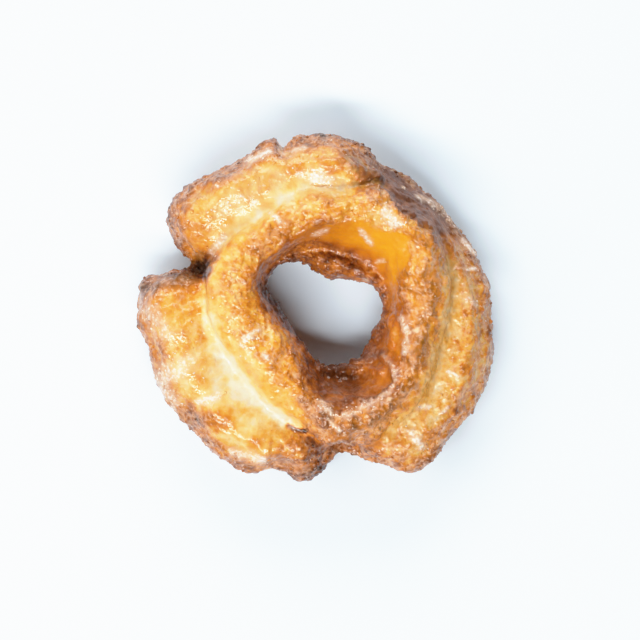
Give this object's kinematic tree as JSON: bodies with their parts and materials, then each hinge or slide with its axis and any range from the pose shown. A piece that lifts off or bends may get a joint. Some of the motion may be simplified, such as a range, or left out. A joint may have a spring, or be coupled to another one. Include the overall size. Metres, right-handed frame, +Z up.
{
  "type": "old-fashioned doughnut",
  "caption": "Glazed old-fashioned cake doughnut: a raised, craggy ring of fried dough round an uneven hole, with cracked and flared petals outside it.",
  "frame": {"origin": "middle of the doughnut's box in plan, at the height of the flat spot that it rests on", "axes": "+Z up out of the ring, +X to the right in the picture's view from above, +Y to the picture's top"},
  "size_m": [0.092, 0.0894, 0.0285],
  "materials": {
    "crust": "deep-fried cake crust under a thin set sugar glaze"
  },
  "bodies": {
    "root": {"doughnut": "crust"}
  },
  "joints": []
}
